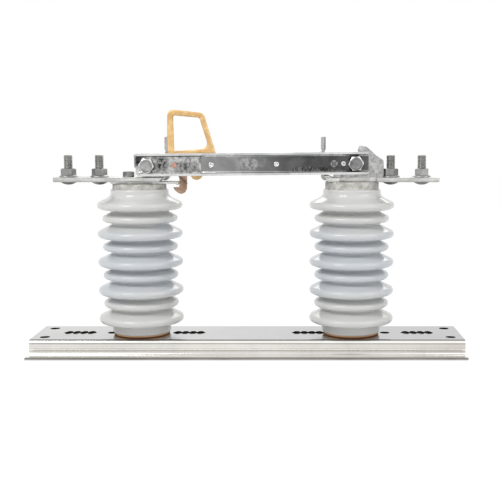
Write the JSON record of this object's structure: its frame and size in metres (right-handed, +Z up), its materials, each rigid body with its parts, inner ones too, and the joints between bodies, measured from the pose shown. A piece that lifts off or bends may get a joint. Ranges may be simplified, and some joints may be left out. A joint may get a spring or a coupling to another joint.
{
  "type": "substation disconnect switch",
  "caption": "Single-pole disconnect switch: a hinged double blade with a pull ring and latch hook, on porcelain posts over a formed channel base.",
  "frame": {"origin": "centre of the base channel's underside", "axes": "+X along the base from the jaw end to the hinge end, +Y to the back, +Z up"},
  "size_m": [0.616, 0.152, 0.3458],
  "materials": {
    "base_steel": "galvanised sheet, brushed",
    "porcelain": "light grey glaze",
    "bare_clay": "unglazed foot",
    "cap_metal": "rough galvanised",
    "bolt_zinc": "galvanised",
    "pad_metal": "copper bar, tinned",
    "blade_metal": "copper channel, silvered",
    "liner_metal": "galvanised sheet",
    "pin_bright": "bright turned",
    "pivot_copper": "copper pin",
    "bronze": "cast bronze",
    "hook_bronze": "dull bronze plate",
    "spring_wire": "drawn wire"
  },
  "bodies": {
    "base": {"base_channel": "base_steel", "insulator_jaw": "porcelain", "insulator_hinge": "porcelain", "foot_ring_jaw": "bare_clay", "foot_ring_hinge": "bare_clay", "foot_bolts_jaw": "bolt_zinc", "foot_bolts_hinge": "bolt_zinc", "cap_jaw": "cap_metal", "cap_hinge": "cap_metal", "latch_keeper": "pad_metal", "terminal_pad_jaw": "pad_metal", "terminal_pad_hinge": "pad_metal", "pad_bolt_jaw": "bolt_zinc", "pad_bolt_hinge": "bolt_zinc", "jaw_contact": "pad_metal", "hinge_bracket": "liner_metal", "terminal_bolt_1": "bolt_zinc", "terminal_nut_1": "bolt_zinc", "terminal_bolt_2": "bolt_zinc", "terminal_nut_2": "bolt_zinc", "terminal_bolt_3": "bolt_zinc", "terminal_nut_3": "bolt_zinc", "terminal_bolt_4": "bolt_zinc", "terminal_nut_4": "bolt_zinc"},
    "blade": {"blade_near": "blade_metal", "blade_far": "blade_metal", "blade_doubler_near": "liner_metal", "blade_doubler_far": "liner_metal", "jaw_bolt": "bolt_zinc", "jaw_washers": "bolt_zinc", "jaw_nut": "bolt_zinc", "hinge_bolt": "bolt_zinc", "hinge_washers": "bolt_zinc", "hinge_nut": "bolt_zinc", "tie_rivet_latch": "pin_bright", "tie_rivet_middle": "pin_bright", "tie_spacers": "pin_bright", "guide_pin": "pin_bright", "stop_pin": "pin_bright", "ring_pivot_pin": "pivot_copper", "pivot_collars": "pin_bright"},
    "ring_and_hook": {"pull_ring": "bronze", "latch_hook": "hook_bronze", "hook_rivet": "pin_bright", "latch_spring": "spring_wire"}
  },
  "joints": [
    {"name": "blade_open", "type": "hinge", "parent": "base", "child": "blade", "pos_m": [0.1537, 0, 0.27], "axis": [0, 1, 0], "range_deg": [0, 90]},
    {"name": "ring_pull", "type": "hinge", "parent": "blade", "child": "ring_and_hook", "pos_m": [-0.10369, 0, 0.26753], "axis": [0, -1, 0], "range_deg": [0, 20], "stiffness_Nm_per_rad": 0.06, "springref_deg": -45.84}
  ]
}
